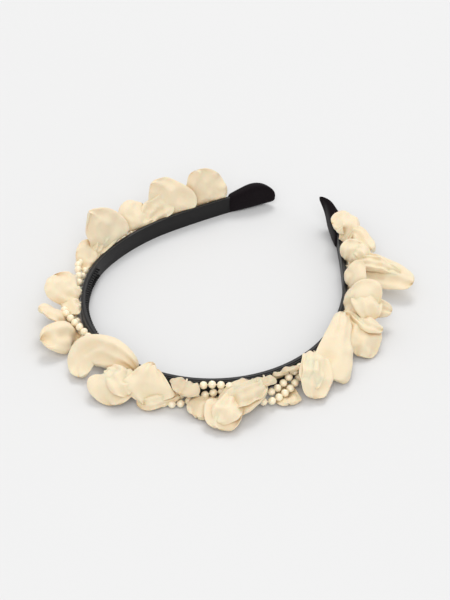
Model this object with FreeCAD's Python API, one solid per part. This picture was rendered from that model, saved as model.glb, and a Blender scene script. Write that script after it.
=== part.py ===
import FreeCAD, Part
import math
import os
from FreeCAD import Vector

# A hair band lying on its long edge: +X to its right, +Y from the crown to the two ends,
# +Z across the band's width.  The origin is on the lower edge at the crown, in the middle
# of the plastic's thickness.  All lengths are in millimetres, all angles in degrees.
#
# Places on the band are written (along, out, up): "along" is the distance along the inner
# face from the crown's middle, negative on the left arm; "out" is the distance outward from
# the ribbon's outer face; "up" is the height above the lower edge.

# ---- the plastic band: three tangent arcs a side, from the crown to each end
CROWN_RADIUS = 62.0
CROWN_ANGLE = 96.0
SHOULDER_RADIUS = 100.0
SHOULDER_ANGLE = 23.0
END_RADIUS = 400.0
END_ANGLE = 7.6
BAND_WIDTH = 9.5
BAND_THICKNESS = 1.8
TANG_STEP = 0.8             # the end inside the cap is this much narrower at each edge

# ---- two rows of comb teeth moulded on the inner face
TEETH_REACH = 90.0          # the rows end this far from the crown's middle
TOOTH_PITCH = 1.8
TOOTH_ROOT = 1.0            # length along the band at the root
TOOTH_TIP = 0.5
TOOTH_HEIGHT = 1.5
TOOTH_WIDTH = 1.7
TOOTH_ROWS = (0.3, 0.7)     # heights of the rows, as parts of the band's width

# ---- the ribbon glued on the outer face
RIBBON_THICKNESS = 0.5
RIBBON_MARGIN = 0.4         # bare plastic at each edge

# ---- where the band's spring is gathered into two hinge lines
FLEX_PLACE = 74.0
FLEX_GAP = 0.4

# ---- the velvet caps on the ends
CAP_LENGTH = 19.0           # stretch of the band that a cap covers
CAP_PILE = 0.6              # velvet over the band at the mouth
CAP_OVERHANG = 7.0          # stretch of the cap past the end of the band
RIBBON_TUCK = 1.0           # gap between the ribbon's end and the cap

# ---- petals, beads, thread and stitches
PETAL_THICKNESS = 1.0
PETAL_CORE = 0.72           # the solid is this part of the cloth's full spread
PETAL_CLEARANCE = 0.1       # a petal stays this far from the band and the ribbon
BEAD_DIAMETER = 3.9
BEAD_GAP = 0.1
BORE_DIAMETER = 1.2
THREAD_DIAMETER = 0.5
THREAD_STRAIGHT = 0.75      # the thread runs straight over this part of a bead's bore
THREAD_GAP = 0.7            # the thread stops this far from a hinge line
STITCH = 0.8                # side of the square tack that holds a petal
STITCH_REACH = 0.9          # how far the tack goes past the petal's root
GARLAND_DESIGN = 178.0      # half length that the garland's places are laid out for
WIDTH_DESIGN = 9.5          # band width that they are laid out for

CAP_MOUTH = 0.3             # the cap's mouth stands this far inside its covered stretch

ARCS = [(CROWN_RADIUS, CROWN_ANGLE), (SHOULDER_RADIUS, SHOULDER_ANGLE), (END_RADIUS, END_ANGLE)]
HALF_LENGTH = sum(radius * math.radians(angle) for radius, angle in ARCS)
GARLAND_HALF = HALF_LENGTH - CAP_LENGTH
STRETCH = GARLAND_HALF / GARLAND_DESIGN
RISE = BAND_WIDTH / WIDTH_DESIGN
BEAD_PITCH = BEAD_DIAMETER + BEAD_GAP
OUTER_FACE = BAND_THICKNESS + RIBBON_THICKNESS
FLEX_ALONG = FLEX_PLACE * STRETCH


def on_band(along, depth, up):
    """Point at a distance along the inner face, at a depth outward from it, at a height."""
    side = -1.0 if along < 0 else 1.0
    left = abs(along)
    x, y, turn = 0.0, BAND_THICKNESS / 2, 0.0
    for radius, angle in ARCS:
        used = min(left, radius * math.radians(angle))
        after = turn + used / radius
        x += radius * (math.sin(after) - math.sin(turn))
        y += radius * (math.cos(turn) - math.cos(after))
        turn = after
        left -= used
    x += left * math.cos(turn)
    y += left * math.sin(turn)
    return Vector(side * (x + depth * math.sin(turn)), y - depth * math.cos(turn), up)


def at(place):
    """Point at a garland place (along, out, up)."""
    along, out, up = place
    return on_band(along * STRETCH, OUTER_FACE + out, up * RISE)


def directions(along):
    """Unit vectors along the band, outward and up at a place on it."""
    step = 0.01
    tangent = on_band(along + step, 0, 0) - on_band(along - step, 0, 0)
    outward = on_band(along, 1, 0) - on_band(along, 0, 0)
    return tangent.normalize(), outward.normalize(), Vector(0, 0, 1)


def joints_between(first, last):
    """The places between two ends where one arc of the band meets the next."""
    ends, total = [0.0], 0.0
    for radius, angle in ARCS[:-1]:
        total += radius * math.radians(angle)
        ends += [total, -total]
    inside = [end for end in ends if first < end < last]
    return sorted(inside)


def strip(first, last, low_depth, high_depth, low, high):
    """A strip that follows the band between two places, two depths and two heights."""
    cuts = [first] + joints_between(first, last) + [last]
    edges = []
    for depth in (low_depth, high_depth):
        for start, stop in zip(cuts, cuts[1:]):
            middle = (start + stop) / 2
            points = [on_band(place, depth, low) for place in (start, middle, stop)]
            edges.append(Part.Arc(*points).toShape())
    for place in (first, last):
        ends = on_band(place, low_depth, low), on_band(place, high_depth, low)
        edges.append(Part.LineSegment(*ends).toShape())
    wire = Part.Wire(Part.__sortEdges__(edges))
    return Part.Face(wire).extrude(Vector(0, 0, high - low))


def slab(sections):
    """A closed ruled solid through a list of four-cornered sections."""
    wires = [Part.makePolygon(list(corners) + [corners[0]]) for corners in sections]
    return Part.makeLoft(wires, True, True)


def tooth(along, middle):
    """One tapered comb tooth on the inner face."""
    sections = []
    for depth, length in ((BAND_THICKNESS / 2, TOOTH_ROOT), (0, TOOTH_ROOT), (-TOOTH_HEIGHT, TOOTH_TIP)):
        width = TOOTH_WIDTH * (0.7 if depth < 0 else 1.0)
        corners = ((-1, -1), (1, -1), (1, 1), (-1, 1))
        tangent, outward, up = directions(along)
        centre = on_band(along, depth, middle)
        sections.append([centre + tangent * (a * length / 2) + up * (b * width / 2) for a, b in corners])
    return slab(sections)


def teeth(first, last):
    """The teeth of both rows between two places, one pitch apart."""
    count = int(TEETH_REACH / TOOTH_PITCH)
    places = [(index + 0.5) * TOOTH_PITCH for index in range(-count, count)]
    clear = TOOTH_ROOT / 2 + FLEX_GAP / 2
    chosen = [place for place in places if first + clear < place < last - clear]
    return [tooth(place, BAND_WIDTH * row) for place in chosen for row in TOOTH_ROWS]


def band_span(first, last):
    """One stretch of the plastic band, with its teeth and with a narrower tang in a cap."""
    body = strip(max(first, -GARLAND_HALF), min(last, GARLAND_HALF), 0, BAND_THICKNESS, 0, BAND_WIDTH)
    extra = teeth(first, last)
    tang = (0, BAND_THICKNESS, TANG_STEP, BAND_WIDTH - TANG_STEP)
    if first < -GARLAND_HALF:
        extra.append(strip(first, -GARLAND_HALF, *tang))
    if last > GARLAND_HALF:
        extra.append(strip(GARLAND_HALF, last, *tang))
    return body.multiFuse(extra).removeSplitter()


def ribbon_span(first, last):
    """One stretch of the ribbon, stopping short of the caps."""
    first = max(first, RIBBON_TUCK - GARLAND_HALF)
    last = min(last, GARLAND_HALF - RIBBON_TUCK)
    return strip(first, last, BAND_THICKNESS, OUTER_FACE, RIBBON_MARGIN, BAND_WIDTH - RIBBON_MARGIN)


# The cap's sections: place past its mouth, inner and outer depth past the band's two faces,
# lowest and highest point past the band's two edges.
CAP_SECTIONS = [
    (0.0, -CAP_PILE, CAP_PILE + RIBBON_THICKNESS, 0.0, CAP_PILE),
    (6.0, -2.0, 2.4, 0.0, 2.0),
    (12.0, -2.4, 2.2, 0.0, 4.8),
    (18.0, -2.6, 1.2, 0.0, 4.0),
    (23.0, -3.2, -1.0, 0.0, 0.8),
    (CAP_LENGTH + CAP_OVERHANG, -4.4, -5.2, 2.5, -2.5),
]


def cap(side, arm):
    """A velvet cap, flared and curled inward at its end, with the band's tang cut out."""
    sections = []
    for place, inner, outer, low, high in CAP_SECTIONS:
        along = side * (GARLAND_HALF + CAP_MOUTH + place)
        near, far = inner, BAND_THICKNESS + outer
        bottom, top = low, BAND_WIDTH + high
        corners = ((near, bottom), (far, bottom), (far, top), (near, top))
        sections.append([on_band(along, depth, up) for depth, up in corners])
    return slab(sections).cut(arm)


def petal(stations, facing):
    """A thin closed leaf through stations (along, out, up, spread), facing one way."""
    tangent, outward, up = directions(stations[0][0] * STRETCH)
    face = (tangent * facing[0] + outward * facing[1] + up * facing[2]).normalize()
    points = [at(station[:3]) for station in stations]
    sections, last_spread = [], None
    for index, point in enumerate(points):
        ahead = points[min(index + 1, len(points) - 1)]
        behind = points[max(index - 1, 0)]
        axis = (ahead - behind).normalize()
        spread = face.cross(axis).normalize()
        if last_spread is not None and spread.dot(last_spread) < 0:
            spread = -spread
        last_spread = spread
        normal = axis.cross(spread)
        half = spread * (stations[index][3] * PETAL_CORE / 2)
        rise = normal * (PETAL_THICKNESS / 2)
        sections.append([point - half - rise, point + half - rise, point + half + rise, point - half + rise])
    return slab(sections)


def stitch(stations):
    """The square tack of thread that ties a petal's root to the ribbon."""
    along, out, up = stations[0][:3]
    sections = []
    for depth in (BAND_THICKNESS, OUTER_FACE + out + STITCH_REACH):
        tangent, outward, rise = directions(along * STRETCH)
        centre = on_band(along * STRETCH, depth, up * RISE + STITCH / 2)
        corners = ((-1, -1), (1, -1), (1, 1), (-1, 1))
        half = STITCH / 2
        sections.append([centre + tangent * (a * half) + rise * (b * half) for a, b in corners])
    return slab(sections)


# Petals: stations (along, out, up, spread) from the stitched root to the free edge, and the
# way the cloth faces (along, outward, up).
INWARD_UP = (0.2, -0.8, 0.5)
OUTWARD_UP = (0.0, 0.3, 1.0)
CROWNWARD = (-0.5, 0.1, 0.8)
PETALS = {
    "petal_01": ([(-167, 0.5, 8.3, 6), (-168, 4, 12, 20), (-169, 7, 19, 24), (-169.5, 9, 26, 14)], INWARD_UP),
    "petal_02": ([(-146, 0.5, 8.3, 6), (-145, 5, 13, 20), (-143, 10, 20, 24), (-141, 13, 27, 14)], INWARD_UP),
    "petal_03": ([(-131, 0.6, 8.3, 4), (-136, 3, 12.5, 12), (-142, 3.5, 15, 14), (-148, 3.5, 16, 8)],
                 (0.3, -0.6, 0.6)),
    "petal_04": ([(-121, 0.5, 8.3, 6), (-123, 4, 10.5, 14), (-127, 8, 14, 16), (-131, 10, 18, 9)],
                 (0.2, -0.8, 0.6)),
    "petal_05": ([(-106, 0.5, 8.3, 6), (-106, 4, 13, 20), (-107, 7, 20, 24), (-107, 10, 28, 12)], INWARD_UP),
    "petal_06": ([(-95, 0.5, 8, 5), (-95, 3, 9.6, 12), (-95, 6, 11, 13), (-94, 8.5, 12, 8)],
                 (0.1, -0.8, 0.6)),
    "petal_07": ([(-66, 0.5, 8.3, 6), (-67, 6, 11, 14), (-69, 10, 16, 20), (-71, 13, 22, 12)],
                 (0.3, -0.4, 0.8)),
    "petal_08": ([(-59.5, 0.5, 8.3, 4), (-59.5, 4, 9.6, 6), (-59.5, 7.5, 10, 5)], (0, -0.4, 1)),
    "petal_09": ([(-50, 0.5, 1.4, 4), (-50, 6.5, 2.4, 6), (-50.5, 12, 9, 11), (-51, 21, 13, 8)],
                 (0, -0.2, 1)),
    "petal_10": ([(-42, 0.5, 1.3, 3), (-42, 6.5, 2.2, 5), (-41, 12, 7, 13), (-41, 23, 9, 9)],
                 (0.6, 0, 0.8)),
    "petal_11": ([(-4, 0.6, 7.5, 3), (-6, 0.8, 11.5, 5), (-15, 1.2, 14.5, 9), (-26, 5, 14, 12),
                  (-29, 11, 9, 12), (-24, 15, 2.5, 8)], (0.2, 0.8, 0.6)),
    "petal_12": ([(-12, 0.5, 1.2, 4), (-12, 6, 1.8, 8), (-12, 8.6, 8, 14), (-9, 14, 8, 20),
                  (-5, 22, 2, 10)], (0, 0.4, 1)),
    "petal_13": ([(15, 0.5, 8, 4), (12, 4, 12, 12), (6, 9, 13.5, 24), (-1, 13, 11.5, 13),
                  (-5, 15, 9.5, 5)], (0.1, 0.5, 0.8)),
    "petal_14": ([(21, 0.5, 9, 4), (20.5, 3, 10.3, 6), (20, 6, 10.3, 6), (19.5, 9, 9, 4)], (0, 0.2, 1)),
    "petal_15": ([(33, 0.5, 1, 4), (32, 6, 1.4, 6), (29, 11, 2.5, 10), (27, 16, 1.5, 7)], OUTWARD_UP),
    "petal_16": ([(40, 0.5, 1.2, 4), (39, 6, 2, 8), (37, 15, 6, 14), (35, 24, 1.6, 10)], OUTWARD_UP),
    "petal_17": ([(56, 0.5, 8.3, 4), (52, 8, 10.5, 10), (44, 13, 11, 16), (36, 16, 9.5, 9)], (0, 0.4, 1)),
    "petal_18": ([(49.5, 0.8, 7.5, 4), (49.5, 1.4, 10, 10), (49.5, 1.6, 12.5, 8)], (0, 1, 0.3)),
    "petal_19": ([(63.5, 0.8, 7.5, 4), (63.5, 1.4, 10, 11), (63.5, 1.6, 13, 8)], (0, 1, 0.3)),
    "petal_20": ([(65, 0.5, 0.6, 4), (64, 6, 0.8, 5), (62, 12, 0.8, 9), (61, 16, 1, 6)], (0, 0, 1)),
    "petal_21": ([(85, 0.5, 8.3, 5), (82, 5, 11, 14), (78, 11, 10, 17), (73, 17, 3, 9)], OUTWARD_UP),
    "petal_22": ([(112, 0.5, 8.3, 4), (106, 4.5, 13, 10), (97, 8, 15, 16), (90, 14, 11, 16),
                  (85, 19, 3, 8)], (-0.4, 0.3, 1)),
    "petal_23": ([(117, 0.5, 8.3, 4), (114.5, 8, 9.5, 7), (108, 16, 8, 11), (100, 19, 2.5, 9)],
                 (-0.3, 0.3, 1)),
    "petal_24": ([(129, 0.5, 8.5, 4), (126, 5, 13.5, 14), (122, 10, 16, 18), (119, 16, 15, 11)],
                 (-0.3, 0.2, 0.9)),
    "petal_25": ([(122, 0.5, 8.3, 4), (122, 7, 9.5, 8), (121, 16, 9, 11), (119, 26, 5, 7)], CROWNWARD),
    "petal_26": ([(153, 0.5, 8.3, 4), (151, 7, 10, 9), (147, 18, 10, 14), (142, 31, 8, 7)], CROWNWARD),
    "petal_27": ([(140, 0.5, 8.3, 4), (139.5, 3, 12, 11), (139.5, 6, 14.5, 12), (139.5, 9, 15, 8)],
                 (-0.7, 0, 0.7)),
    "petal_28": ([(160, 0.5, 8.3, 5), (159, 4, 13, 12), (159, 8, 15, 14), (160, 11, 15, 9)],
                 (-0.2, 0.2, 1)),
    "petal_29": ([(173, 0.5, 8.3, 4), (178, 4, 14.5, 8), (183, 2, 17.5, 14), (183, -3.5, 15.5, 9)],
                 (-0.2, 0.2, 1)),
    "petal_30": ([(169, 0.5, 8.3, 4), (171, 7, 9.5, 6), (169, 13, 10.5, 9), (161, 16, 10.5, 7)],
                 (-0.2, 0.2, 1)),
}

# The two strands' routes, from the left cap to the right one: (along, out, up).
STRANDS = {
    "a": [(-171, 2.4, 5.2), (-164, 2.4, 5.2), (-158, 2.6, 8.5), (-155, 2.8, 9.8), (-152, 2.8, 8),
          (-149, 2.4, 5.2), (-127, 2.4, 5.2), (-104, 2.4, 5.2), (-99, 3.5, 6.2), (-95, 5.6, 6.2),
          (-91, 7, 7.5), (-86.5, 6.8, 10), (-82, 5, 10.3), (-77, 2.6, 8.8), (-73.5, 2.5, 7.4),
          (-70, 2.4, 5.2), (-66, 2.6, 5.2), (-62, 4.3, 6.4), (-59, 6.8, 6.4), (-54.5, 9, 9.6),
          (-50, 6.6, 9.2), (-44, 4.5, 9), (-38, 2.6, 8.8), (-29, 2.6, 8.8), (-20, 2.6, 8.8),
          (-10, 3.2, 8.8), (-2, 4, 6.9), (6, 5.4, 4.6), (14, 6.4, 3.5), (18, 5.5, 3.5), (21.5, 4, 4.8),
          (24, 2.8, 7.3), (28, 2.6, 9.4), (34, 2.6, 10), (41, 4, 9.3), (48, 6, 7.2), (54, 8.2, 5.6),
          (57, 8, 5), (61, 6, 4.8), (64, 5, 5.6), (67, 4, 7), (73, 2.6, 8.9), (80, 2.4, 5.2),
          (110, 2.4, 5.2), (140, 2.4, 5.2), (171, 2.4, 5.2)],
    "b": [(-171, 6.3, 3.1), (-149, 6.3, 3.1), (-127, 6.3, 3.1), (-104, 6.3, 3.1), (-99, 5.8, 2.3),
          (-95, 4, 2.3), (-91, 2.6, 4.2), (-86.5, 2.8, 7.4), (-82, 2.6, 6.8), (-77, 2.6, 4.6),
          (-73.5, 4.8, 3.4), (-70, 6.3, 3.1), (-66, 6.3, 2.8), (-62, 5.6, 2.3), (-59, 4.4, 2.3),
          (-54.5, 4, 4.6), (-50, 2.6, 5.2), (-44, 2.6, 4.9), (-38, 2.6, 4.6), (-29, 2.6, 4.6),
          (-20, 2.6, 4.6), (-10, 2.8, 4.6), (-3, 4.6, 2.6), (2, 8.2, 2.5), (6, 9.6, 2.5), (12, 10.6, 2.3),
          (14.7, 10.6, 2.3), (19, 9.5, 2.3), (21.5, 7.8, 2.5), (25, 5.4, 3.1), (31, 3.3, 5),
          (38, 2.6, 5.8), (41, 3.6, 5.1), (46, 6.5, 3.1), (49, 9.5, 3.3), (54, 12.3, 3.5),
          (57, 11.9, 3.5), (61, 10.2, 3.6), (64, 8.8, 3.6), (67, 7.4, 4), (73, 4, 4.9), (80, 6.3, 3.1),
          (110, 6.3, 3.1), (140, 6.3, 3.1), (171, 6.3, 3.1)],
}


def bead_centres(route):
    """(along, centre) every bead pitch along a strand's route."""
    centres = [(route[0][0], at(route[0]))]
    for start, stop in zip(route, route[1:]):
        steps = max(2, int(abs(stop[0] - start[0]) * 10))
        for index in range(steps):
            share = index / steps
            place = [a + (b - a) * share for a, b in zip(start, stop)]
            point = at(place)
            if point.distanceToPoint(centres[-1][1]) >= BEAD_PITCH:
                centres.append((place[0], point))
    return centres


def bead(centre, axis):
    """A round bead bored along its strand."""
    radius = BEAD_DIAMETER / 2
    ball = Part.makeSphere(radius, centre, axis)
    bore = Part.makeCylinder(BORE_DIAMETER / 2, 4 * radius, centre - axis * (2 * radius), axis)
    return ball.cut(bore)


def thread(points):
    """A thin six-sided thread through a row of points."""
    sections = []
    for index, point in enumerate(points):
        ahead = points[min(index + 1, len(points) - 1)]
        behind = points[max(index - 1, 0)]
        axis = (ahead - behind).normalize()
        side = Vector(0, 0, 1).cross(axis).normalize() * (THREAD_DIAMETER / 2)
        rise = axis.cross(side)
        turns = [math.radians(60 * corner) for corner in range(6)]
        sections.append([point + side * math.cos(turn) + rise * math.sin(turn) for turn in turns])
    return slab(sections)


def strand_span(route, first, last):
    """The beads and the thread of one strand between two places on the garland."""
    centres = bead_centres(route)
    room = BEAD_DIAMETER / 2 + THREAD_GAP
    straight = BEAD_DIAMETER / 2 * THREAD_STRAIGHT
    beads, points = [], []
    for index, (along, centre) in enumerate(centres):
        if not first < along * STRETCH < last:
            continue
        before = centres[max(index - 1, 0)][1]
        after = centres[min(index + 1, len(centres) - 1)][1]
        axis = (after - before).normalize()
        points += [centre - axis * straight, centre + axis * straight]
        if first + room < along * STRETCH < last - room:
            beads.append(bead(centre, axis))
    return beads, thread(trimmed(points, first, last))


def trimmed(points, first, last):
    """The points of a thread, without those too near a hinge line."""
    ends = [place for place in (first, last) if abs(abs(place) - FLEX_ALONG) < FLEX_GAP]
    kept = []
    for point in points:
        lengths = []
        for place in ends:
            tangent, outward, up = directions(place)
            lengths.append(abs((point - on_band(place, 0, 0)).dot(tangent)))
        if not lengths or min(lengths) > THREAD_GAP + THREAD_DIAMETER:
            kept.append(point)
    return kept


def save(name, solids):
    """Write a node's solids to its own file."""
    shape = solids[0] if len(solids) == 1 else Part.makeCompound(solids)
    shape.exportStep("parts/" + name + ".step")
    print(name, len(shape.Solids), "solid(s)", round(shape.Volume, 1), "mm3", shape.isValid())


def main():
    os.makedirs("parts", exist_ok=True)
    gap = FLEX_GAP / 2
    spans = {
        "left": (-HALF_LENGTH, -FLEX_ALONG - gap),
        "crown": (-FLEX_ALONG + gap, FLEX_ALONG - gap),
        "right": (FLEX_ALONG + gap, HALF_LENGTH),
    }
    room = PETAL_CLEARANCE
    width = -room, BAND_WIDTH + room
    keep_out = strip(-GARLAND_HALF, GARLAND_HALF, -room, OUTER_FACE + room, *width)
    petals = {name: petal(*made).cut(keep_out) for name, made in PETALS.items()}
    for part_name, (first, last) in spans.items():
        arm = band_span(first, last)
        save("band_" + part_name, [arm])
        if part_name != "crown":
            side = -1 if part_name == "left" else 1
            save("cap_" + part_name, [cap(side, arm)])
        names = [name for name, made in PETALS.items() if first < made[0][0][0] * STRETCH < last]
        stitches = [stitch(PETALS[name][0]) for name in names]
        save("ribbon_" + part_name, [ribbon_span(first, last).cut(stitches)])
        save("stitches_" + part_name, stitches)
        for name in names:
            save(name, [petals[name].cut(stitches)])
        for letter, route in STRANDS.items():
            beads, line = strand_span(route, first, last)
            save("pearls_" + letter + "_" + part_name, beads)
            save("thread_" + letter + "_" + part_name, [line])


main()
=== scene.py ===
# %% [markdown]
# # A headband with chiffon petals and pearls
# The real object is a springy plastic band lying on its long edge. A black ribbon is glued round
# the outside, a velvet cap closes each end, and a garland of folded chiffon petals and two strands
# of pearl beads is sewn along the ribbon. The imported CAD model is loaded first, and every piece
# made here is placed by the same measurements, so nothing has to be fitted afterwards.

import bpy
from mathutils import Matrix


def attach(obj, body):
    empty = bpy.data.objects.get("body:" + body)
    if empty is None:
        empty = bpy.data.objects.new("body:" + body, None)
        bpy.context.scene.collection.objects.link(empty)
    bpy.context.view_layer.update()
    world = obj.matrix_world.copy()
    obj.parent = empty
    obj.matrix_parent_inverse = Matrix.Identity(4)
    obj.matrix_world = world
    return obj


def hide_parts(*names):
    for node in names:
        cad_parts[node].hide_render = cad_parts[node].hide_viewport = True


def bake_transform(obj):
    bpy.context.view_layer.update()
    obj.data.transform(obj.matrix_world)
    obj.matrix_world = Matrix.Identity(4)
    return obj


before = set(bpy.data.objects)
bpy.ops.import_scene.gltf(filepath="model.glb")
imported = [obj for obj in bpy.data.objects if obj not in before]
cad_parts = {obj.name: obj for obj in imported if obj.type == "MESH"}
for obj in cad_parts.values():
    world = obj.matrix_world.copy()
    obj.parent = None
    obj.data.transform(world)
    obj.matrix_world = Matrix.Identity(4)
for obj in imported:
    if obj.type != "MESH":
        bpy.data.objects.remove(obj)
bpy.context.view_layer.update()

# %% Imports
import math

import bmesh
import bpy
from mathutils import Matrix, Vector, noise

# %% [markdown]
# ## Measuring along the band
# A hair band is easiest to describe along its own length. A place is (along, depth, up): along is
# the distance round the inner face from the middle of the crown, negative on the left arm; depth is
# the distance outward from the inner face; up is the height above the edge it lies on. The inner
# face is three arcs a side, each starting where the last one ends and in the same direction.

# %% Places on the band
MM = 0.001
INNER_Y = 0.9  # where the inner face crosses the middle of the crown
ARCS = [(62.0, math.radians(96)), (100.0, math.radians(23)), (400.0, math.radians(7.6))]
HALF_LENGTH = sum(radius * angle for radius, angle in ARCS)
CAP_LENGTH = 19.0
CAP_MOUTH = HALF_LENGTH - CAP_LENGTH
BAND_THICKNESS, BAND_WIDTH = 1.8, 9.5
RIBBON_FACE = 2.3  # depth of the ribbon's outer face
SIDES = ((-1, "left"), (1, "right"))
STRETCHES = {"left": ("left", "crown"), "right": ("right",)}  # the CAD stretches each half stands for


def on_band(along, depth, up):
    """The point at a place on the band, in metres."""
    side = -1.0 if along < 0 else 1.0
    left, turn, x, y = abs(along), 0.0, 0.0, INNER_Y
    for radius, angle in ARCS:
        after = turn + min(left, radius * angle) / radius
        x += radius * (math.sin(after) - math.sin(turn))
        y += radius * (math.cos(turn) - math.cos(after))
        left -= radius * (after - turn)
        turn = after
    x, y = x + left * math.cos(turn), y + left * math.sin(turn)
    x, y = x + depth * math.sin(turn), y - depth * math.cos(turn)
    return Vector((side * x, y, up)) * MM


def directions(along):
    """Unit vectors along the band, outward and up at a place."""
    ahead = on_band(along + 0.05, 0, 0) - on_band(along - 0.05, 0, 0)
    outward = on_band(along, 1, 0) - on_band(along, 0, 0)
    return ahead.normalized(), outward.normalized(), Vector((0, 0, 1))


print("half length, mm:", round(HALF_LENGTH, 1))

# %% [markdown]
# ## Camera, floor and light
# The camera stands in front and to the right, looking down at about forty degrees, with a long lens
# so that the far arm isn't much smaller than the near one. The floor is plain and pale. One
# large soft lamp behind the band throws the faint shadow toward the viewer, a second fills in from
# the front, and a bright even world keeps every shadow light.

# %% Camera
scene = bpy.context.scene
scene.view_settings.view_transform = "Standard"
azimuth, elevation, distance = math.radians(29.7), math.radians(39.1), 0.9
target = Vector((0.0, 0.0659, 0.006))
back = Vector((math.sin(azimuth) * math.cos(elevation),
               -math.cos(azimuth) * math.cos(elevation), math.sin(elevation)))
camera_data = bpy.data.cameras.new("camera")
camera_data.lens = 109.48
camera_data.sensor_width = 36.0
camera_data.shift_x, camera_data.shift_y = 0.017, -0.0063
camera_data.clip_start, camera_data.clip_end = 0.05, 20.0
camera = bpy.data.objects.new("camera", camera_data)
camera.location = target + back * distance
camera.rotation_euler = back.to_track_quat("Z", "Y").to_euler()
scene.collection.objects.link(camera)
scene.camera = camera
print("camera at", [round(value, 3) for value in camera.location])

# %% Lights


def soft_lamp(name, place, size, power):
    """A white square area lamp that faces the band."""
    data = bpy.data.lights.new(name, "AREA")
    data.shape, data.size, data.energy = "SQUARE", size, power
    lamp = bpy.data.objects.new(name, data)
    lamp.location = place
    lamp.rotation_euler = (Vector(place) - target).to_track_quat("Z", "Y").to_euler()
    scene.collection.objects.link(lamp)


soft_lamp("lamp_behind", (-0.45, 1.15, 1.7), 0.8, 14.5)
soft_lamp("lamp_front", (0.7, -1.1, 1.5), 1.4, 15.5)
world = bpy.data.worlds.new("studio")
scene.world = world
world.use_nodes = True
world.node_tree.nodes["Background"].inputs["Color"].default_value = (1, 1, 1, 1)
world.node_tree.nodes["Background"].inputs["Strength"].default_value = 0.765
print("lamps: 2")

# %% [markdown]
# ## A way to write materials
# A material is a graph of nodes. Two small classes keep the graph readable: Value wraps one output
# so that sums and products are written as ordinary expressions, and Finish starts a material with
# its main shader and adds any other node with one method.

# %% Shader helpers


class Value:
    """One number that varies over a surface, so that maths on it reads as Python."""

    def __init__(self, tree, socket):
        self.tree, self.socket = tree, socket

    def math(self, operation, first, second):
        node = self.tree.nodes.new("ShaderNodeMath")
        node.operation = operation
        for slot, given in zip(node.inputs, (first, second)):
            if isinstance(given, Value):
                self.tree.links.new(given.socket, slot)
            else:
                slot.default_value = given
        return Value(self.tree, node.outputs[0])

    def __add__(self, other):
        return self.math("ADD", self, other)

    def __radd__(self, other):
        return self.math("ADD", other, self)

    def __rsub__(self, other):
        return self.math("SUBTRACT", other, self)

    def __mul__(self, other):
        return self.math("MULTIPLY", self, other)

    def __rmul__(self, other):
        return self.math("MULTIPLY", other, self)

    def __pow__(self, other):
        return self.math("POWER", self, other)


RIB_SCALE = 0.314159  # a wave texture's scale for ribs a metre apart


class Finish:
    """A material with one main shader."""

    def __init__(self, name, **sockets):
        self.material = bpy.data.materials.new(name)
        self.material.use_nodes = True
        self.tree = self.material.node_tree
        self.shader = self.tree.nodes["Principled BSDF"]
        self.fill(self.shader, sockets)

    def fill(self, node, sockets):
        for key, given in sockets.items():
            slot = node.inputs[key if isinstance(key, int) else key.replace("_", " ")]
            if isinstance(given, Value):
                self.tree.links.new(given.socket, slot)
            else:
                slot.default_value = given

    def node(self, kind, settings=(), sockets=(), output=0):
        """Any node: its settings are set first, then the values or links of its sockets."""
        made = self.tree.nodes.new("ShaderNode" + kind)
        for key, given in dict(settings).items():
            if key == "stops":
                for stop, (place, colour) in zip(made.color_ramp.elements, given):
                    stop.position, stop.color = place, colour
            else:
                setattr(made, key, given)
        self.fill(made, dict(sockets))
        return Value(self.tree, made.outputs[output])

    def noise(self, scale, detail=3.0):
        """Soft blotches at a scale, in the object's own coordinates."""
        place = self.node("TexCoord", output=3)
        return self.node("TexNoise", sockets={"Vector": place, "Scale": scale, "Detail": detail})

    def ribs(self, direction, pitch):
        """Fine parallel ribs, one every pitch in metres."""
        place = self.node("TexCoord", output=3)
        settings = {"wave_type": "BANDS", "bands_direction": direction}
        sockets = {"Vector": place, "Scale": RIB_SCALE / pitch, "Distortion": 0.6}
        return self.node("TexWave", settings, sockets, output=1)

    def mix(self, factor, first, second):
        """A colour between two colours."""
        return self.node("Mix", {"data_type": "RGBA"}, {0: factor, 6: first, 7: second}, output=2)

    def bump(self, height, depth, strength=0.5):
        """Surface relief of a depth in metres."""
        return self.node("Bump", sockets={"Strength": strength, "Distance": depth, "Height": height})


print("shader helpers ready")

# %% [markdown]
# ## The finishes
# The chiffon is the finish that matters most. It is a cream crepe cloth, a little see-through.
# In the real cloth, light that bounces between its folds turns warm and tan; here that warm shade
# is painted into the colour. An Ambient Occlusion node tells how far into the folds a point lies,
# and the colour there is mixed from the open cream toward a painted tan shade. Fine ribs crossed
# both ways and a little noise give the crepe's grain. The thin and sheer finishes are the same cloth,
# only more see-through.

# %% Cloth finishes


def chiffon_finish(name, alpha, light, painted_shade_colour):
    """Cream crepe chiffon: light on open cloth, with tan shade painted into its folds."""
    cloth = Finish(name, Roughness=0.85, Sheen_Weight=0.25, Sheen_Roughness=0.5, Subsurface_Weight=0.18,
                   Subsurface_Scale=0.002, Specular_IOR_Level=0.15, Alpha=alpha)
    # Painted shade: the more occluded a point is, the more its colour is pulled toward the painted tan.
    depth = cloth.node("AmbientOcclusion", {"samples": 8}, {"Distance": 0.007}, output=1)
    blotch = cloth.noise(140.0, 2.0)
    painted_shade_mask = (1.0 - depth) ** 1.1 * (0.75 + 0.5 * blotch)
    colour = cloth.mix(painted_shade_mask, light, painted_shade_colour)
    grain = cloth.noise(2600.0, 2.0)
    grain = grain + 0.6 * cloth.ribs("DIAGONAL", 0.0006) + 0.5 * cloth.ribs("Z", 0.0005)
    tint = cloth.mix(grain * 0.12, colour, (light[0] * 0.93, light[1] * 0.9, light[2] * 0.82, 1))
    cloth.fill(cloth.shader, {"Base Color": tint, "Normal": cloth.bump(grain, 0.00012, 0.35)})
    return cloth


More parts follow.
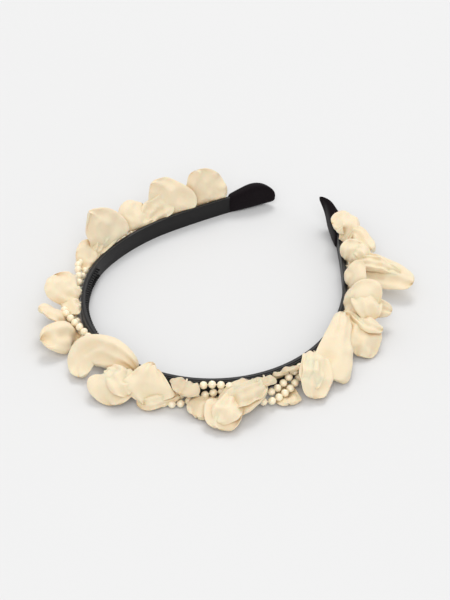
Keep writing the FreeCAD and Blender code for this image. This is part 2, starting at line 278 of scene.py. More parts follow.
# CREAM is the cloth's own colour; the second colour is painted shade for its folds.
CREAM, PAINTED_FOLD_SHADE = (0.83, 0.715, 0.52, 1), (0.67, 0.44, 0.19, 1)
chiffon = chiffon_finish("cream_chiffon", 0.96, CREAM, PAINTED_FOLD_SHADE)
thin = chiffon_finish("thin_chiffon", 0.86, CREAM, PAINTED_FOLD_SHADE)
sheer = chiffon_finish("sheer_chiffon", 0.74, CREAM, PAINTED_FOLD_SHADE)

satin = Finish("black_ribbon", Roughness=0.55, Sheen_Weight=0.1)
weave = satin.ribs("Z", 0.0004) * 0.7 + satin.noise(1800.0) * 0.3
WARP, WEFT = (0.006, 0.006, 0.007, 1), (0.016, 0.015, 0.016, 1)
satin.fill(satin.shader, {"Base Color": satin.mix(weave, WARP, WEFT),
                          "Normal": satin.bump(weave, 0.00008)})

velvet = Finish("black_velvet", Roughness=0.95, Sheen_Weight=0.12, Sheen_Roughness=0.4,
                Specular_IOR_Level=0.1)
pile = velvet.noise(1500.0, 4.0) * 0.7 + velvet.noise(160.0) * 0.3
DEEP_PILE, PILE_TIPS = (0.0035, 0.0025, 0.003, 1), (0.011, 0.007, 0.009, 1)
velvet.fill(velvet.shader, {"Base Color": velvet.mix(pile, DEEP_PILE, PILE_TIPS),
                            "Normal": velvet.bump(pile, 0.0003)})
print("cloth finishes: 5")

# %% Plastic, pearl and thread finishes
plastic = Finish("black_plastic", Specular_IOR_Level=0.25)
flow = plastic.noise(60.0)
SOOT, COAL = (0.0065, 0.006, 0.0063, 1), (0.011, 0.0102, 0.0106, 1)
plastic.fill(plastic.shader, {"Base Color": plastic.mix(flow, SOOT, COAL),
                              "Roughness": 0.36 + 0.12 * plastic.noise(900.0),
                              "Normal": plastic.bump(plastic.noise(1400.0), 0.00003)})

pearl = Finish("ivory_pearl", Coat_Weight=0.7, Coat_Roughness=0.12, Subsurface_Weight=0.15,
               Subsurface_Scale=0.001, Specular_IOR_Level=0.6)
cloud = pearl.noise(420.0)
pearl.fill(pearl.shader, {"Base Color": pearl.mix(cloud, (0.88, 0.75, 0.51, 1), (0.92, 0.82, 0.63, 1)),
                          "Roughness": 0.2 + 0.12 * cloud})

yarn = Finish("cream_thread", Roughness=0.8)
twist = yarn.ribs("DIAGONAL", 0.0003)
yarn.fill(yarn.shader, {"Base Color": yarn.mix(twist, (0.62, 0.52, 0.36, 1), (0.86, 0.78, 0.62, 1)),
                        "Normal": yarn.bump(twist, 0.00006)})

ground = Finish("pale_floor", Roughness=0.9, Specular_IOR_Level=0.1)
FLOOR_GREYS = (0.69, 0.69, 0.69, 1), (0.70, 0.70, 0.70, 1)
ground.fill(ground.shader, {"Base Color": ground.mix(ground.noise(3.0), *FLOOR_GREYS)})
print("materials:", len(bpy.data.materials))

# %% [markdown]
# ## From a bmesh to a finished piece
# Every new piece goes through the same last steps: a bmesh becomes a mesh object at the origin, and
# its modifiers are applied so that its points are final. The real band bends smoothly over the
# crown's shoulders, where the CAD has a hinge line. A piece that crosses the shoulder, or sits on it,
# only has its placement baked into its mesh and hides the CAD nodes it stands for; the caps and the
# petals away from the shoulder are tied to the body they ride on.

# %% Finishing helpers
SHOULDER = (38, 110)  # where the bend begins and ends along each arm, mm


def piece(name, bm, finish, subdivisions=0, smooth=True):
    """Turn a bmesh into a finished mesh object."""
    bmesh.ops.recalc_face_normals(bm, faces=bm.faces)
    mesh = bpy.data.meshes.new(name)
    bm.to_mesh(mesh)
    bm.free()
    made = bpy.data.objects.new(name, mesh)
    scene.collection.objects.link(made)
    if subdivisions:
        modifier = made.modifiers.new("round", "SUBSURF")
        modifier.levels = modifier.render_levels = subdivisions
        settle(made)
    made.data.materials.clear()
    made.data.materials.append(finish.material)
    for face in made.data.polygons:
        face.use_smooth = smooth
    return made


def settle(made):
    """Apply a piece's modifiers to its mesh."""
    bpy.context.view_layer.update()
    graph = bpy.context.evaluated_depsgraph_get()
    mesh = bpy.data.meshes.new_from_object(made.evaluated_get(graph))
    made.modifiers.clear()
    made.data = mesh
    mesh.name = made.name


def follow(made, side, slot_name, *nodes):
    """Bake a piece's placement into its mesh, and let it stand for CAD nodes by hiding them."""
    arm = "left_arm" if side < 0 else "right_arm"
    start, end = (on_band(side * along, 0, 0) for along in SHOULDER)
    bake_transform(made)
    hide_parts(*nodes)


print("shoulder blend, mm:", SHOULDER)

# %% [markdown]
# ## Band and ribbon
# The band is one plastic strip of even section. Its outline is only arcs, so each half is made by
# spinning the section round the centre of one arc after another, which gives the true curve.
# It is split at the crown, one half for each arm. A narrow bevel takes the
# sharpness off the long edges, as a mould's rounded corners do. The ribbon is the same with a
# thinner section. Both run on a little way inside the caps.

# %% Spun strips
SPIN_STEP = 1.5  # the longest facet along a strip, mm
SHARP = 0.8  # radians past which an edge is a corner of the section
BAND_BEVEL, RIBBON_BEVEL = 0.3, 0.12
BAND_IN_CAP, RIBBON_IN_CAP = 8, 2
RIBBON_LOW, RIBBON_HIGH = 0.4, 9.1


def strip(name, side, corners, stop, finish, bevel):
    """Half of a strip round the band: corners are (depth, up) places of its section."""
    bm = bmesh.new()
    ring = [bm.verts.new(on_band(0, depth, up)) for depth, up in corners]
    last = ring + [bm.edges.new((ring[i - 1], ring[i])) for i in range(len(ring))]
    along, turn = 0.0, 0.0
    for radius, angle in ARCS:
        reach = min(radius * angle, stop - along)
        if reach <= 0:
            break
        inner = on_band(side * (along + 1e-9), 0, 0)
        centre = inner + Vector((-side * math.sin(turn), math.cos(turn), 0)) * radius * MM
        spun = bmesh.ops.spin(bm, geom=last, cent=centre, axis=(0, 0, 1), dvec=(0, 0, 0),
                              angle=side * reach / radius, steps=max(4, int(reach / SPIN_STEP)),
                              use_duplicate=False)
        last = spun["geom_last"]
        along, turn = along + reach, turn + reach / radius
    sharp = [edge for edge in bm.edges
             if len(edge.link_faces) == 2 and edge.calc_face_angle() > SHARP]
    bmesh.ops.bevel(bm, geom=sharp, offset=bevel * MM, offset_type="OFFSET", affect="EDGES",
                    segments=3, profile=0.5, material=-1)
    rims = [edge for edge in bm.edges if edge.is_boundary]
    for edge in rims:
        edge.smooth = False
    bmesh.ops.holes_fill(bm, edges=rims, sides=0)
    return piece(name, bm, finish)


def section(near, far, low, high):
    """The four corners of a rectangular section."""
    return [(near, low), (far, low), (far, high), (near, high)]


band_section = section(0, BAND_THICKNESS, 0, BAND_WIDTH)
ribbon_section = section(BAND_THICKNESS, RIBBON_FACE, RIBBON_LOW, RIBBON_HIGH)
for side, label in SIDES:
    body = strip("band_plastic_" + label, side, band_section, CAP_MOUTH + BAND_IN_CAP, plastic,
                 BAND_BEVEL)
    follow(body, side, "band_plastic", *["band_" + stretch for stretch in STRETCHES[label]])
    facing = strip("ribbon_facing_" + label, side, ribbon_section, CAP_MOUTH + RIBBON_IN_CAP, satin,
                   RIBBON_BEVEL)
    follow(facing, side, "ribbon_satin", *["ribbon_" + stretch for stretch in STRETCHES[label]])
    print(label, "band faces:", len(body.data.polygons), "ribbon faces:", len(facing.data.polygons))

# %% [markdown]
# ## Comb teeth
# Two rows of little teeth grip the hair on the crown's inner face. Each starts as a cube whose
# inner end is drawn in, so that it tapers as a moulded tooth must to leave its mould. One is
# made for each place, and all the teeth of a half are one piece, because they are one moulding
# with the band.

# %% Teeth
TOOTH = (1.0, 1.7, 1.7)  # along, outward and up, mm
TAPER = (0.5, 1, 0.65)  # the inner end's share of each
TOOTH_DEPTH = -0.65  # the middle of a tooth, which is sunk a little into the band
TOOTH_BEVEL = 0.12
PITCH, COMB_REACH = 1.8, 90  # from tooth to tooth, and how far the comb goes along each arm, mm
TOOTH_ROWS = (0.3, 0.7)  # shares of the band's width


def tooth(bm, along, middle):
    """One tapered tooth on the inner face."""
    made = bmesh.ops.create_cube(bm, size=1.0)["verts"]
    tip = [vert for vert in made if vert.co.y > 0]
    bmesh.ops.scale(bm, vec=TAPER, verts=tip)
    bmesh.ops.scale(bm, vec=[size * MM for size in TOOTH], verts=made)
    tangent, outward, up = directions(along)
    turn = Matrix((tangent, -outward, up)).transposed().to_4x4()
    turn.translation = on_band(along, TOOTH_DEPTH, middle)
    bmesh.ops.transform(bm, matrix=turn, verts=made)
    edges = list({edge for vert in tip for edge in vert.link_edges})
    bmesh.ops.bevel(bm, geom=edges, offset=TOOTH_BEVEL * MM, offset_type="OFFSET", affect="EDGES",
                    segments=1, profile=0.5, material=-1)


for side, label in SIDES:
    bm = bmesh.new()
    for index in range(int(COMB_REACH / PITCH)):
        for height in TOOTH_ROWS:
            tooth(bm, side * (index + 0.5) * PITCH, BAND_WIDTH * height)
    teeth = piece("comb_teeth_" + label, bm, plastic, smooth=False)
    follow(teeth, side, "band_plastic")
    print(label, "tooth faces:", len(teeth.data.polygons))

# %% [markdown]
# ## Sleeves of cloth
# A petal is a strip of chiffon doubled over and gathered at its root, so it is a flat soft sleeve:
# two layers that meet in round folds at its sides and at its free edge. A grid is wrapped round
# into a sleeve: one direction of the grid runs round the section, the other from the root to the
# free edge, and the two ends close because the section shrinks to a line there. Where the sleeve
# goes is a short list of stations along its middle, each with its spread, and a smooth curve runs
# through them. The rows of the grid lie closer together toward the free edge, where it rounds off.

# %% Smooth stations and the sleeve
TIP = 0.62  # share of a petal past which its free edge rounds off
WANDER = 0.22  # how much the width varies along and across, as a share of itself
PLEAT = 0.8 * MM  # how high the pleats at the stitched root stand
AROUND, ROWS = 32, 26  # the grid's divisions round the section and along the petal


def through(values, share):
    """The value at a share of the way along a list, on a smooth curve through its items."""
    spot = share * (len(values) - 1)
    index = min(int(spot), len(values) - 2)
    t = spot - index
    p0, p1 = values[max(index - 1, 0)], values[index]
    p2, p3 = values[index + 1], values[min(index + 2, len(values) - 1)]
    a, b = (p2 - p0) * 0.5, (p3 - p1) * 0.5
    return p1 + a * t + (3 * (p2 - p1) - 2 * a - b) * t * t + (2 * (p1 - p2) + a + b) * t ** 3


def sleeve(bm, centres, spreads, face, fat, cup, corner, seed):
    """Wrap a grid into a flat closed sleeve through centres, with a spread at each."""
    made = bmesh.ops.create_grid(bm, x_segments=AROUND, y_segments=ROWS, size=1.0)["verts"]
    sides, last = {}, None
    for row in range(ROWS + 1):
        share = 1 - (1 - row / ROWS) ** 1.5
        middle = through(centres, share)
        axis = through(centres, min(share + 0.03, 1)) - through(centres, max(share - 0.03, 0))
        across = face.cross(axis).normalized()
        if last is not None and across.dot(last) < 0:
            across.negate()
        last = across
        sides[row] = (share, middle, across, axis.normalized().cross(across))
    for vert in made:
        share, middle, across, rise = sides[round((vert.co.y + 1) / 2 * ROWS)]
        turn = math.pi * (vert.co.x + 1)
        place = math.cos(turn)
        tip = max(0.0, (share - TIP) / (1 - TIP))
        wander = 1 + WANDER * noise.noise(Vector((2.2 * share + seed, place, seed)))
        half = through(spreads, share) / 2 * (1 - tip ** corner) ** 0.5 * wander
        swell = fat / 2 * min(1.0, share * 6) ** 0.5 * (1 - tip ** 2) ** 0.5
        high = math.copysign(abs(math.sin(turn)) ** 0.8, math.sin(turn)) * swell
        high += cup * (1 - place * place) * math.sin(math.pi * min(share * 1.15, 1))
        fading = (1 - 0.7 * share) * min(1.0, share * 5)
        high += PLEAT * math.cos(3 * math.pi * place + seed) * fading
        high += PLEAT * math.sin(4.5 * place + seed) * share * share
        point = middle + across * (place * half) + rise * high
        point += rise * crumple(point, seed) * min(1.0, share * 3)
        vert.co = Vector((point.x, point.y, lifted(point.z)))
    bmesh.ops.remove_doubles(bm, verts=made, dist=1e-6)


def crumple(point, seed):
    """How far the cloth is pushed out at a point: broad folds with creased edges, and small ones."""
    offset = Vector((seed, 2 * seed, -seed))
    broad = noise.noise(point * 120 + offset)
    small = noise.noise(point * 340 - offset)
    return (3.2 * (0.22 - abs(broad)) + 0.5 * small) * MM


LOW, LEAST = 1.2 * MM, 0.2 * MM  # heights under the first are squeezed, and none under the second


def lifted(up):
    """Keep cloth off the floor: low heights are squeezed up so that none goes below the least."""
    return up if up > LOW else LEAST + MM * math.exp((up - LOW) / MM)


print("sleeve ready")

# %% [markdown]
# ## Velvet caps
# Each cap is one bag of velvet pulled over the band's end and gathered to a point that curls
# inward. Its lower edge follows the band's, and its upper corner flares. It starts at the mouth
# with the band's own size and a pile's thickness more. A cap is past the shoulder, so it simply
# rides on its arm. The right one ends in a hook.

# %% Caps
MOUTH_GAP = 0.3  # how far past CAP_MOUTH a cap's first section stands, mm
BOXY = 0.55  # under 1 the sections are squarer than an ellipse
CAP = [  # place past the mouth, inner depth, outer depth, low, high
    (0.0, -0.7, 3.0, -0.0, 10.2), (2.0, -1.4, 3.8, 0.1, 10.6), (7.0, -2.3, 4.2, 0.2, 11.8),
    (13.0, -2.7, 4.0, 0.3, 14.0), (18.5, -3.0, 2.6, 0.8, 13.8), (22.5, -3.5, 0.4, 1.6, 11.6),
    (25.5, -4.3, -2.6, 2.8, 8.6),
]
HOOK = CAP[:4] + [
    (16.5, -3.0, 2.2, 1.2, 15.0), (19.5, -3.2, 0.6, 4.5, 16.6), (22.0, -4.2, -1.8, 9.5, 17.0),
    (24.5, -6.4, -5.4, 14.8, 16.8),
]


def cap(name, side, sections):
    """A velvet cap: rounded sections joined into a closed bag."""
    bm = bmesh.new()
    rings = []
    for place, near, far, low, high in sections:
        ring = bmesh.ops.create_circle(bm, cap_ends=False, radius=1.0, segments=20)["verts"]
        along = side * (CAP_MOUTH + MOUTH_GAP + place)
        for vert in ring:
            x, y = (math.copysign(abs(value) ** BOXY, value) for value in vert.co.xy)
            vert.co = on_band(along, (near + far) / 2 + (far - near) / 2 * x,
                              (low + high) / 2 + (high - low) / 2 * y)
        rings.append([edge for edge in bm.edges if all(vert in ring for vert in edge.verts)])
    for first, second in zip(rings, rings[1:]):
        bmesh.ops.bridge_loops(bm, edges=first + second)
    bmesh.ops.holes_fill(bm, edges=[edge for edge in bm.edges if edge.is_boundary], sides=0)
    return piece(name, bm, velvet, subdivisions=2)


for (side, label), sections in zip(SIDES, (CAP, HOOK)):
    bag = cap("velvet_cap_" + label, side, sections)
    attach(bag, label + "_arm")
    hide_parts("cap_" + label)
    print(label, "cap faces:", len(bag.data.polygons))

# %% [markdown]
# ## Petals
# A petal is one leaf of cloth or two. A leaf's stations are (along, out, up, spread), with out
# measured from the ribbon's face. Facing is the way the cloth's broad side looks, as (along,
# outward, up). The last numbers set how fat the doubled cloth is, how much it cups, and how square
# its free edge is.

# %% Petal table
PETALS = {
    1: [([(-167.5, 0.5, 8.3, 21), (-167.5, 3, 11, 23), (-166.5, 6, 18, 20), (-164.5, 8, 25.5, 11)],
         (0.2, -0.8, 0.5), 2.4, 1.0, 5)],
    2: [([(-147, 0.5, 8.3, 24), (-147, 4, 12, 27), (-144, 8, 19, 22), (-140, 10, 24.5, 10)],
         (0.2, -0.8, 0.5), 2.2, 1.2, 5)],
    3: [([(-131, 0.6, 8.3, 8), (-136, 3, 12, 13), (-142, 3.5, 13.5, 14), (-148, 3.5, 14, 12)],
         (0.3, -0.6, 0.6), 2.4, -0.8, 3)],
    4: [([(-126, 0.5, 8.3, 14), (-127, 4, 10, 19), (-130, 8, 13, 19), (-134, 10, 15.5, 12)],
         (0.2, -0.8, 0.6), 3.6, 1.6, 3)],
    5: [([(-108, 0.5, 8.3, 20), (-107, 4, 14, 25), (-104, 7, 22, 18), (-101, 9, 29.5, 7)],
         (0.2, -0.8, 0.5), 2.6, 1.4, 3),
        ([(-97, 2, 9.5, 6), (-102, 2.8, 11.5, 10), (-109, 3.4, 12.5, 10), (-117, 2.6, 12.5, 6)],
         (0.2, -0.7, 0.6), 3.0, 0.6, 3)],
    6: [([(-92, 0.5, 8, 12), (-92, 3, 9.6, 18), (-91.5, 6, 11, 20), (-90, 10, 12, 14)],
         (0.1, -0.8, 0.6), 2.2, -1.0, 3)],
    7: [([(-64, 0.5, 8.3, 9), (-65, 5, 10, 17), (-67, 9, 13.5, 22), (-70, 12, 18, 15)],
         (0.3, -0.4, 0.8), 2.6, 1.6, 3)],
    8: [([(-60, 0.5, 8.3, 8), (-58.5, 4, 9.8, 14), (-56.5, 9, 10, 12)], (0, -0.4, 1), 1.6, 0.5, 3)],
    9: [([(-51, 0.5, 1.4, 4), (-51, 6.5, 2.6, 8), (-51.5, 12, 9.5, 13), (-52.5, 21, 15, 10)],
         (0, -0.2, 1), 2.0, 1.0, 3)],
    10: [([(-42, 0.5, 1.3, 3), (-42, 6.5, 2.2, 8), (-41, 12, 7, 16), (-41, 24, 9, 14)],
         (0.6, 0, 0.8), 2.4, 1.4, 3)],
    11: [([(-4, 0.6, 7.5, 5), (-7, 0.8, 10.6, 9), (-14, 2, 12, 14), (-22, 5, 11.2, 15),
           (-25.5, 10.5, 7.6, 15),
           (-21, 18, 2.8, 13)], (0.2, 0.8, 0.6), 2.0, 1.2, 4)],
    12: [([(-8, 0.5, 1.2, 6), (-8, 6, 2, 13), (-7.5, 10, 9, 22), (-5.5, 15, 8.6, 26),
           (-2, 21.5, 2.4, 16)],
          (0, 0.4, 1), 2.4, 1.6, 4),
         ([(-13, 8, 8, 6), (-8, 11, 11, 11), (-3, 14, 11, 12), (2, 17, 8, 8)],
         (0, 0.3, 1), 2.0, 1.2, 4)],
    13: [([(5, 0.5, 8.5, 3), (5.3, 1, 14.6, 4), (5.8, 4, 14.6, 11), (6.4, 8.5, 11.6, 20),
           (6.8, 12, 8, 25),
           (7, 15, 3, 3)], (0.35, 0.6, 0.75), 1.8, 1.0, 12),
         ([(19, 6, 6, 4), (15, 8.5, 5, 8), (9, 13, 4, 9), (4, 15, 3, 5)],
         (0.3, 0.5, 0.8), 2.2, 0.5, 3)],
    14: [([(22, 0.5, 9, 9), (21.5, 3, 10.3, 14), (21, 6.5, 10.4, 14), (20, 10, 8.8, 10)],
          (0, 0.2, 1), 1.2, 0.4, 4)],
    15: [([(33, 0.5, 1, 5), (32, 6, 1.6, 9), (29, 11, 3, 14), (27, 17, 2.2, 12)],
         (0, 0.3, 1), 2.0, 1.0, 3)],
    16: [([(40, 0.5, 1.2, 5), (39, 6, 2.4, 11), (37, 15, 6.4, 19), (34, 25, 2.6, 15)],
         (0, 0.3, 1), 2.0, 1.6, 5),
         ([(43, 7, 6, 5), (40, 13, 8.4, 12), (37, 19, 8, 13), (34, 23, 5, 8)],
         (0, 0.3, 1), 2.0, 1.0, 3)],
    17: [([(53, 0.5, 8.3, 5), (50, 7.5, 9, 12), (43, 11, 8.4, 18), (35, 13, 4.4, 14)],
         (0, 0.4, 1), 2.6, 1.4, 4),
         ([(54, 6, 9.8, 5), (49, 9.5, 10.6, 11), (42, 12, 10, 13), (37, 13, 7.6, 8)],
         (0, 0.3, 1), 2.0, 1.0, 4)],
    18: [([(52, 0.8, 5.5, 14), (51, 1.5, 9.4, 19), (50.5, 5, 9.9, 19), (50, 8, 9.6, 14)],
          (0, -0.4, 1), 1.2, 0.2, 4)],
    19: [([(67, 0.8, 5, 12), (67, 1.6, 8.8, 15), (66.5, 3.2, 10.2, 15), (66, 5, 10.2, 12)],
          (0, -0.6, 0.8), 1.2, 0.2, 4)],
    20: [([(65, 0.5, 0.9, 5), (64, 6, 1.2, 8), (62, 12, 1.4, 13), (61, 16, 1.5, 11)],
         (0, 0, 1), 1.4, 0.5, 4)],
    21: [([(82, 0.5, 8.3, 5), (79.5, 5.5, 10.6, 14), (75, 12, 8.2, 17), (70, 19.5, 2.8, 13)],
         (0.2, 0.4, 0.9), 2.8, 1.8, 5),
         ([(80, 4.5, 10.4, 5), (76, 8.5, 11.8, 10), (72.5, 12.5, 9.6, 11), (70, 16, 6, 8)],
          (0.2, 0.4, 0.9), 2.0, 1.0, 5)],
    22: [([(114, 0.5, 8.3, 5), (109, 2, 12, 8), (99.5, 5.5, 12.4, 13), (89.5, 10, 10.4, 19),
           (79.5, 15.5, 5.4, 25)],
          (0, 0.4, 0.9), 3.0, 1.8, 9)],
    23: [([(116, 0.5, 8.3, 5), (114, 5, 11, 9), (110, 12, 10.4, 14), (105, 15.5, 7.5, 17),
           (98.5, 17, 2.8, 13)],
          (-0.4, 0.45, 0.8), 2.4, 1.4, 6),
         ([(114, 5, 11.4, 4), (111, 10, 12.6, 8), (109.5, 16, 11.6, 9), (111, 22, 9.6, 7)],
          (-0.3, 0.3, 1), 3.0, 0.6, 3)],
    24: [([(122, 0.5, 8.5, 6), (119.5, 5, 13, 20), (117.5, 10, 15.5, 25), (116, 16, 14, 19)],
          (-0.7, 0.1, 0.7), 3.4, 2.0, 4),
         ([(125, 4.5, 13.5, 6), (120, 8.5, 17.2, 12), (115, 13, 16.6, 13), (112, 16, 12, 9)],
          (-0.5, 0.2, 0.9), 2.6, 1.0, 4)],
    25: [([(122, 0.5, 8.3, 5), (122.5, 8, 10, 9), (123, 16, 10, 10), (123.5, 23, 8, 8)],
          (-0.5, 0.1, 0.8), 4.6, 0.8, 3)],
    26: [([(153, 0.5, 8.3, 8), (151, 7, 10.5, 16), (147, 18, 10, 17), (141.5, 32.5, 8, 12)],
          (-0.5, 0.1, 0.8), 2.4, -1.4, 6),
         ([(153, 3, 11, 6), (150.5, 11, 12.8, 9), (148, 19, 12.4, 8), (145, 26, 10, 5)],
          (-0.5, 0.1, 0.8), 2.4, 0.6, 3)],
    27: [([(138, 0.5, 8.3, 6), (137.5, 3, 12, 14), (137.5, 6, 14.5, 16), (137.5, 9, 15, 12)],
          (-0.7, 0, 0.7), 3.4, 1.4, 4)],
    28: [([(158, 0.5, 8.3, 7), (157.5, 2.5, 12.5, 14), (157.5, 5, 14, 15), (158, 7.5, 13.5, 12)],
          (-0.6, 0, 0.8), 3.2, 1.8, 4),
         ([(161, 2.5, 12, 5), (158.5, 5.5, 15, 8), (156, 8, 15.2, 9), (153.5, 9.5, 12.5, 7)],
          (-0.6, 0.2, 0.8), 2.2, 0.8, 4)],
    29: [([(173, 0.5, 8.3, 6), (177.5, 3.5, 13.5, 13), (180.5, 1, 16, 17), (180, -5, 14.6, 13)],
          (-0.2, 0.2, 1), 2.6, 1.4, 3)],
    30: [([(172, 0.5, 8.3, 5), (176, 5, 12.5, 8), (172, 10, 12.5, 10), (162, 13, 11, 9)],
          (-0.2, 0.2, 1), 2.6, 1.2, 4)],
}
SHEER, HALF_SHEER = (14, 18, 19), (17,)  # the petals that light passes through most
print("petals:", len(PETALS))

# %% [markdown]
# The size a sheet of cloth was cut to is worked out from a petal's stations laid out flat, and not
# from its mesh: the widest spread, and the length from the root to the free edge, with two leaves end
# to end. The two layers of a leaf lie together and count as one. Nothing further is done with it.

# %% Make the petals
BENDS_WITHIN = 15  # a petal this near the shoulder is not tied to a body, mm


def placed(stations):
    """A leaf's stations as points, and its spread at each."""
    points = [on_band(along, RIBBON_FACE + out, up) for along, out, up, _ in stations]
    return points, [station[3] * MM for station in stations]


def leaf(bm, stations, facing, fat, cup, corner, seed):
    """One leaf of a petal: a sleeve through its stations."""
    tangent, outward, up = directions(stations[0][0])
    face = (tangent * facing[0] + outward * facing[1] + up * facing[2]).normalized()
    sleeve(bm, *placed(stations), face, fat * MM, cup * MM, corner, seed)


def petal(number, leaves):
    """One petal: its leaves as one cloth, tied to its body unless it lies near the shoulder."""
    along = leaves[0][0][0][0]
    bm = bmesh.new()
    for index, shape in enumerate(leaves):
        leaf(bm, *shape, seed=number * 1.7 + index * 5.3)
    name = "petal_%02d" % number
    finish = sheer if number in SHEER else thin if number in HALF_SHEER else chiffon
    made = piece(name + "_cloth", bm, finish, subdivisions=1)
    side = -1 if along < 0 else 1
    if SHOULDER[0] - BENDS_WITHIN < abs(along) < SHOULDER[1] + BENDS_WITHIN:
        follow(made, side, "chiffon", name)
    else:
        arm = "left_arm" if side < 0 else "right_arm"
        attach(made, "crown" if abs(along) < SHOULDER[0] else arm)
        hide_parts(name)
    declare(leaves)
    return made


def declare(leaves):
    """Work out the size a petal is cut to from its stations laid out flat, and nothing read off its mesh;
    the sizes are not kept.
    """
    wide, long, area = 0.0, 0.0, 0.0
    for stations, *_ in leaves:
        points, spreads = placed(stations)
        wide = max(wide, *spreads)
        for index in range(len(points) - 1):
            step = (points[index + 1] - points[index]).length
            long += step
            area += step * (spreads[index] + spreads[index + 1]) / 2


for number, leaves in PETALS.items():
    cloth = petal(number, leaves)
    print(cloth.name, "faces", len(cloth.data.polygons),
          "size, mm", [round(value / MM, 1) for value in cloth.dimensions])

# %% [markdown]
# ## Pearls on their threads
# Two strands wander along the garland. A strand's line is one smooth curve through the places
# chosen for it, and the beads are set along that curve a bead's width apart, as they sit
# when they are pushed together on a thread. A curve with a round section is the thread itself.

# %% Strand routes
STRANDS = {
    "a": [(-171, 2.4, 5.2), (-164, 2.4, 5.2), (-158, 2.6, 8.5), (-155, 2.8, 9.8), (-152, 2.8, 8),
          (-149, 2.4, 5.2), (-127, 2.4, 5.2), (-104, 2.4, 5.2), (-99, 3.5, 6.2), (-95, 5.6, 6.2),
          (-91, 7, 7.5), (-86.5, 6.8, 10), (-82, 5, 10.3), (-77, 2.6, 8.8), (-73.5, 2.5, 7.4),
          (-70, 2.4, 5.2), (-66, 2.6, 5.2), (-62, 4.3, 6.4), (-59, 6.8, 6.4), (-54.5, 9, 9.6),
          (-50, 6.6, 9.2), (-44, 4.5, 9), (-38, 2.6, 8.8), (-29, 2.6, 8.8), (-20, 2.6, 8.8),
          (-10, 3.2, 8.8), (-2, 4, 6.9), (6, 5.4, 4.6), (14, 6.4, 3.5), (18, 5.5, 3.5), (21.5, 4, 4.8),
          (24, 2.8, 7.3), (28, 2.6, 9.4), (34, 2.6, 10), (41, 4, 9.3), (48, 6, 7.2), (54, 8.2, 5.6),
          (57, 8, 5), (61, 6, 4.8), (64, 5, 5.6), (67, 4, 7), (73, 2.6, 8.9), (80, 2.4, 5.2),
          (110, 2.4, 5.2), (140, 2.4, 5.2), (171, 2.4, 5.2)],
    "b": [(-171, 6.3, 3.1), (-149, 6.3, 3.1), (-127, 6.3, 3.1), (-104, 6.3, 3.1), (-99, 5.8, 2.3),
          (-95, 4, 2.3), (-91, 2.6, 4.2), (-86.5, 2.8, 7.4), (-82, 2.6, 6.8), (-77, 2.6, 4.6),
          (-73.5, 4.8, 3.4), (-70, 6.3, 3.1), (-66, 6.3, 2.8), (-62, 5.6, 2.3), (-59, 4.4, 2.3),
          (-54.5, 4, 4.6), (-50, 2.6, 5.2), (-44, 2.6, 4.9), (-38, 2.6, 4.6), (-29, 2.6, 4.6),
          (-20, 2.6, 4.6), (-10, 2.8, 4.6), (-3, 4.6, 2.6), (2, 8.2, 2.5), (6, 9.6, 2.5), (12, 10.6, 2.3),
          (14.7, 10.6, 2.3), (19, 9.5, 2.3), (21.5, 7.8, 2.5), (25, 5.4, 3.1), (31, 3.3, 5),
          (38, 2.6, 5.8), (41, 3.6, 5.1), (46, 6.5, 3.1), (49, 9.5, 3.3), (54, 12.3, 3.5),
          (57, 11.9, 3.5), (61, 10.2, 3.6), (64, 8.8, 3.6), (67, 7.4, 4), (73, 4, 4.9), (80, 6.3, 3.1),
          (110, 6.3, 3.1), (140, 6.3, 3.1), (171, 6.3, 3.1)],
}
BEAD, GAP, THREAD = 3.9 * MM, 0.1 * MM, 0.5 * MM
FINE = 0.05 * MM  # how finely a line is searched for the next bead's place

# %% Curve, thread and beads


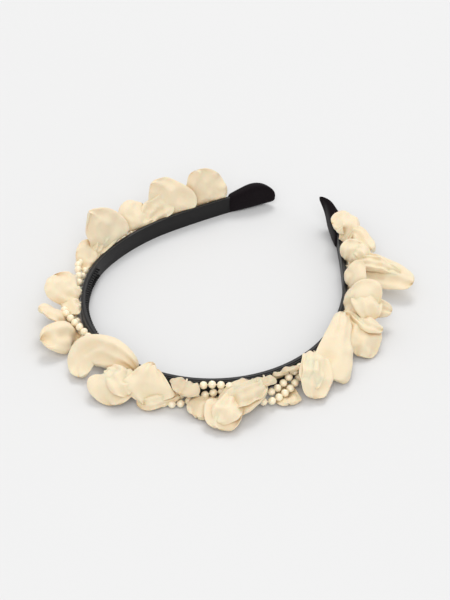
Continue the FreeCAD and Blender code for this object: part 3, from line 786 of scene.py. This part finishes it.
def strand_curve(name, places, thickness):
    """A smooth curve near a list of places, as a mesh: a bare line, or a round thread."""
    data = bpy.data.curves.new(name, "CURVE")
    data.dimensions = "3D"
    data.bevel_depth, data.bevel_resolution, data.use_fill_caps = thickness / 2, 1, True
    spline = data.splines.new("NURBS")
    spline.points.add(len(places) - 1)
    for point, place in zip(spline.points, places):
        point.co = (*on_band(place[0], RIBBON_FACE + place[1], place[2]), 1)
    spline.order_u, spline.use_endpoint_u, spline.resolution_u = 3, True, 8
    holder = bpy.data.objects.new(name, data)
    scene.collection.objects.link(holder)
    bpy.context.view_layer.update()
    graph = bpy.context.evaluated_depsgraph_get()
    mesh = bpy.data.meshes.new_from_object(holder.evaluated_get(graph))
    bpy.data.objects.remove(holder)
    return mesh


def bead_places(line):
    """Bead centres a bead's width apart along a line of points."""
    points = [vert.co.copy() for vert in line.vertices]
    centres = [points[0]]
    for start, stop in zip(points, points[1:]):
        steps = max(1, int((stop - start).length / FINE))
        for step in range(steps):
            spot = start.lerp(stop, step / steps)
            if (spot - centres[-1]).length >= BEAD + GAP:
                centres.append(spot)
    return centres


for letter, route in STRANDS.items():
    centres = bead_places(strand_curve("line_" + letter, route, 0))
    for side, label in SIDES:
        bm = bmesh.new()
        for centre in [spot for spot in centres if spot.x * side > 0]:
            bmesh.ops.create_icosphere(bm, subdivisions=2, radius=BEAD / 2,
                                       matrix=Matrix.Translation(centre))
        beads = piece("pearl_beads_%s_%s" % (letter, label), bm, pearl)
        nodes = ["%s_%s" % (letter, stretch) for stretch in STRETCHES[label]]
        follow(beads, side, "pearl", *["pearls_" + node for node in nodes])
        half = [place for place in route if place[0] * side > 0]
        bm = bmesh.new()
        bm.from_mesh(strand_curve("thread", half, THREAD))
        cord = piece("beading_thread_%s_%s" % (letter, label), bm, yarn)
        follow(cord, side, "beading_thread", *["thread_" + node for node in nodes])
        print(letter, label, "bead faces:", len(beads.data.polygons))

# %% [markdown]
# ## The pieces that come from CAD, and the floor
# The stitches' shape is right as it is, so they only get a thread finish. The floor is a big plain
# plane at the height of the edge the band lies on.

# %% Stitches and floor
for part in ("left", "crown", "right"):
    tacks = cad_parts["stitches_" + part]
    tacks.data.materials.clear()
    tacks.data.materials.append(yarn.material)

FLOOR_HALF, FLOOR_DROP = 4.0, 0.05 * MM  # half its side, and how far it is under the band, metres
bm = bmesh.new()
bmesh.ops.create_grid(bm, x_segments=1, y_segments=1, size=FLOOR_HALF)
bmesh.ops.translate(bm, vec=(0, 0, -FLOOR_DROP), verts=bm.verts)
floor = piece("floor", bm, ground)
